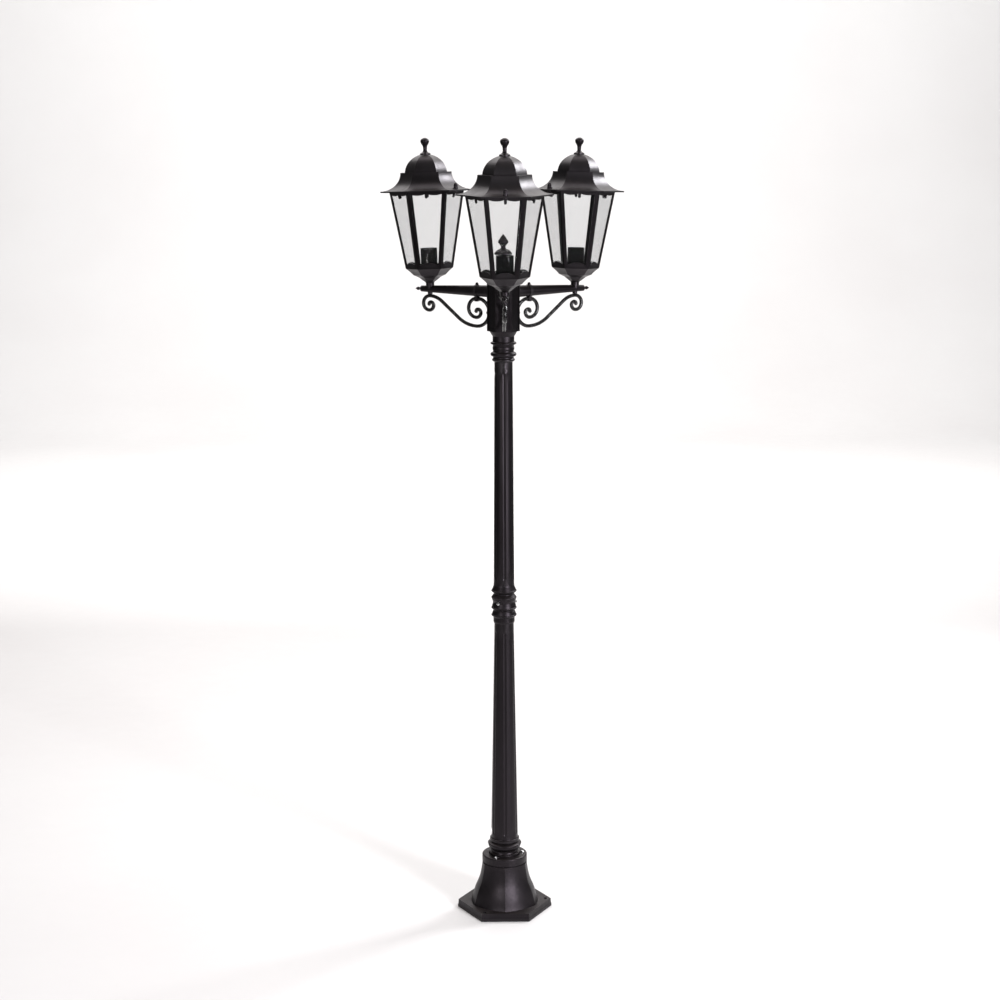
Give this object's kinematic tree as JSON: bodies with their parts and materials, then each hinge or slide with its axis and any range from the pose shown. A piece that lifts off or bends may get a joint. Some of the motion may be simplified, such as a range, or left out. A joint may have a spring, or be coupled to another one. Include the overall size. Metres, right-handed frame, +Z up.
{
  "type": "triple head lamp post",
  "caption": "Garden lamp post with a fluted two-part post on a hexagonal foot and lanterns on scrolled arms round a hub.",
  "frame": {"origin": "centre of the foot's underside on the post's axis", "axes": "+Z up along the post; -Y along the front arm; the other arms 120 degrees round from it"},
  "size_m": [0.7092, 0.6142, 2.3018],
  "materials": {
    "black_coat": "satin black powder coat on aluminium",
    "stainless": "bright stainless screws",
    "dark_steel": "blackened steel",
    "zinc": "zinc plated",
    "black_plastic": "glossy black",
    "lead_sheath": "matt black",
    "socket_brass": "nickelled brass",
    "glass": "clear, slightly grey"
  },
  "bodies": {
    "lamp_post": {"base_casting": "black_coat", "base_clamp_screws": "stainless", "lower_post": "black_coat", "mid_collar": "black_coat", "mid_collar_screws": "stainless", "upper_post": "black_coat", "hub_set_screws": "dark_steel", "top_collar": "black_coat", "hub_casting": "black_coat", "hub_cap": "black_coat", "hub_finial": "black_coat", "terminal_block": "black_plastic", "arm_clamp_screws": "black_coat", "scroll_screws": "black_coat", "arm_lock_nuts": "zinc", "roof_studs": "zinc", "lantern_nipples": "zinc", "lantern_lock_nuts": "zinc", "front_arm": "black_coat", "front_arm_finial": "black_coat", "front_arm_clamp": "black_coat", "front_scroll": "black_coat", "front_cup": "black_coat", "front_cage": "black_coat", "front_glass": "glass", "front_lampholder": "black_plastic", "front_lamp_socket": "socket_brass", "front_lamp_lead": "lead_sheath", "left_arm": "black_coat", "left_arm_finial": "black_coat", "left_arm_clamp": "black_coat", "left_scroll": "black_coat", "left_cup": "black_coat", "left_cage": "black_coat", "left_glass": "glass", "left_lampholder": "black_plastic", "left_lamp_socket": "socket_brass", "left_lamp_lead": "lead_sheath", "right_arm": "black_coat", "right_arm_finial": "black_coat", "right_arm_clamp": "black_coat", "right_scroll": "black_coat", "right_cup": "black_coat", "right_cage": "black_coat", "right_glass": "glass", "right_lampholder": "black_plastic", "right_lamp_socket": "socket_brass", "right_lamp_lead": "lead_sheath"},
    "front_roof_unit": {"front_roof": "black_coat", "front_roof_finial": "black_coat", "front_cap_nuts": "black_coat"},
    "left_roof_unit": {"left_roof": "black_coat", "left_roof_finial": "black_coat", "left_cap_nuts": "black_coat"},
    "right_roof_unit": {"right_roof": "black_coat", "right_roof_finial": "black_coat", "right_cap_nuts": "black_coat"}
  },
  "joints": [
    {"name": "front_roof_lift", "type": "slide", "parent": "lamp_post", "child": "front_roof_unit", "axis": [0, -0.0332, 0.9995], "range_m": [0, 0.08]},
    {"name": "left_roof_lift", "type": "slide", "parent": "lamp_post", "child": "left_roof_unit", "axis": [-0.0287, 0.0166, 0.9995], "range_m": [0, 0.08]},
    {"name": "right_roof_lift", "type": "slide", "parent": "lamp_post", "child": "right_roof_unit", "axis": [0.0287, 0.0166, 0.9995], "range_m": [0, 0.08]}
  ]
}
